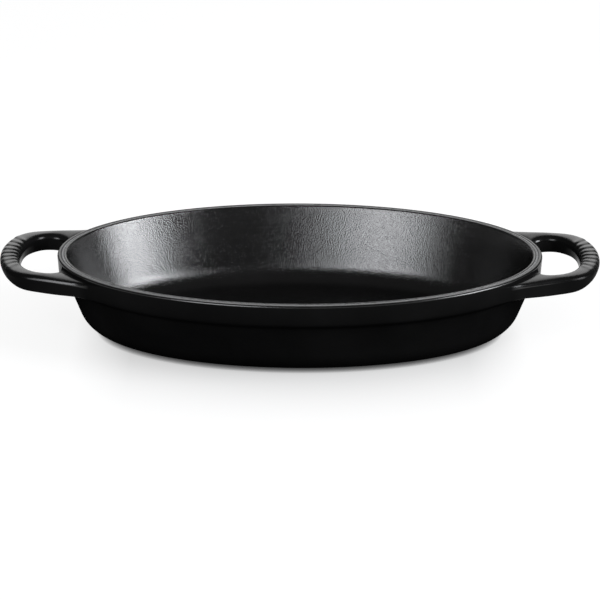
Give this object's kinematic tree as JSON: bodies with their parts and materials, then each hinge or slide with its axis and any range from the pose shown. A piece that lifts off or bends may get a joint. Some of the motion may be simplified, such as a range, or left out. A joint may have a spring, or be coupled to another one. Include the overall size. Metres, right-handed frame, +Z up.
{
  "type": "oval baking dish",
  "caption": "Oval enamelled cast-iron baking dish with a banded rim, tapered wall, recessed base and a finger-loop handle at each end.",
  "frame": {"origin": "middle of the foot ring, on the plane the dish stands on", "axes": "+X along the dish through a handle, +Y across the dish away from the viewer of the picture, +Z up"},
  "size_m": [0.4498, 0.2396, 0.062],
  "materials": {
    "ground_coat_iron": "matte fired ground coat on grey iron",
    "satin_black_enamel": "satin black vitreous enamel with a fine grain",
    "black_enamel": "black vitreous enamel, half gloss, slight orange peel"
  },
  "bodies": {
    "root": {"cast_iron_body": "ground_coat_iron", "interior_enamel": "satin_black_enamel", "exterior_enamel": "black_enamel", "base_enamel": "black_enamel"}
  },
  "joints": []
}
